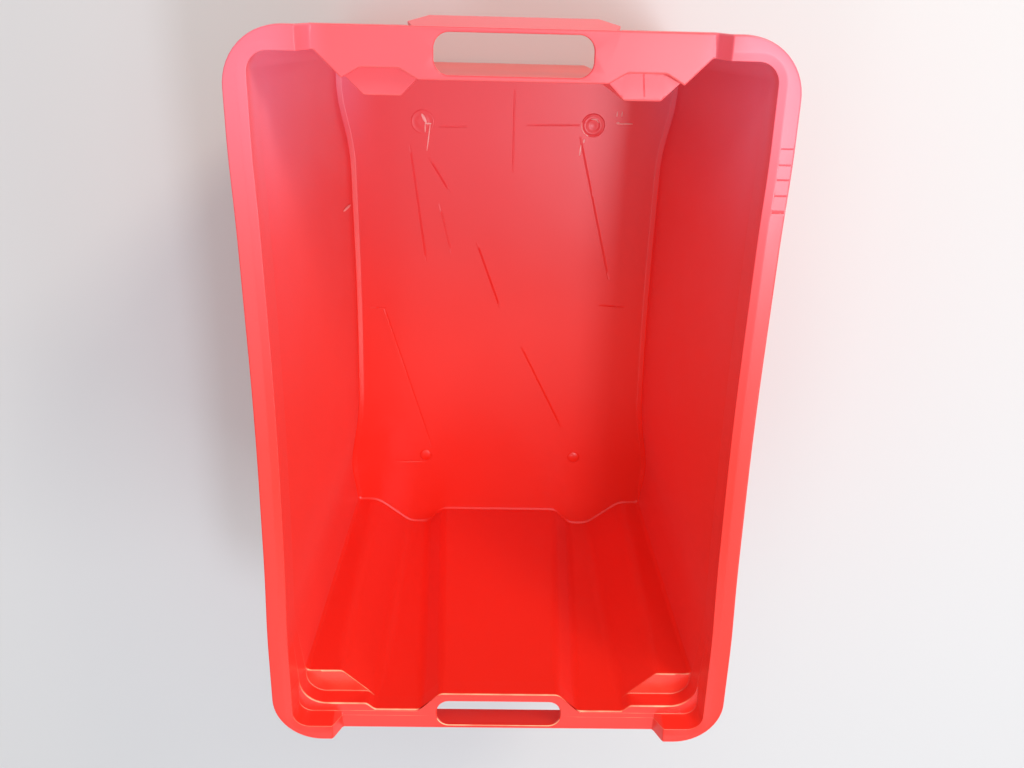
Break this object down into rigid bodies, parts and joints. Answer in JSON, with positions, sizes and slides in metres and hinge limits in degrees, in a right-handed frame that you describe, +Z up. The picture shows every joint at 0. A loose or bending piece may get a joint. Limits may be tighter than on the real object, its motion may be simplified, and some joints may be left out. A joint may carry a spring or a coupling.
{
  "type": "harvest tub",
  "caption": "Stack-and-nest harvest tub with tapered walls, a stepped rim, lowered end flanges with hand slots and grip flaps, stacking seats at one end and corner shelves at the other.",
  "frame": {"origin": "on the ground under the middle of the rim", "axes": "+Z up out of the mouth, +Y along the tub towards the rear end with the stacking seats, +X across it"},
  "size_m": [0.396, 0.612, 0.34],
  "materials": {
    "red_polyethylene": "satin moulded high-density polyethylene"
  },
  "bodies": {
    "root": {"floor_panel": "red_polyethylene", "floor_ribs": "red_polyethylene", "gate_pips": "red_polyethylene", "left_wall": "red_polyethylene", "right_wall": "red_polyethylene", "rear_wall": "red_polyethylene", "front_wall": "red_polyethylene", "rear_left_post": "red_polyethylene", "rear_right_post": "red_polyethylene", "front_left_post": "red_polyethylene", "front_right_post": "red_polyethylene", "left_rim": "red_polyethylene", "right_rim": "red_polyethylene", "rear_left_rim": "red_polyethylene", "rear_right_rim": "red_polyethylene", "front_left_rim": "red_polyethylene", "front_right_rim": "red_polyethylene", "rear_handle": "red_polyethylene", "front_handle": "red_polyethylene", "rear_grip": "red_polyethylene", "front_grip": "red_polyethylene", "rim_gussets": "red_polyethylene"}
  },
  "joints": []
}
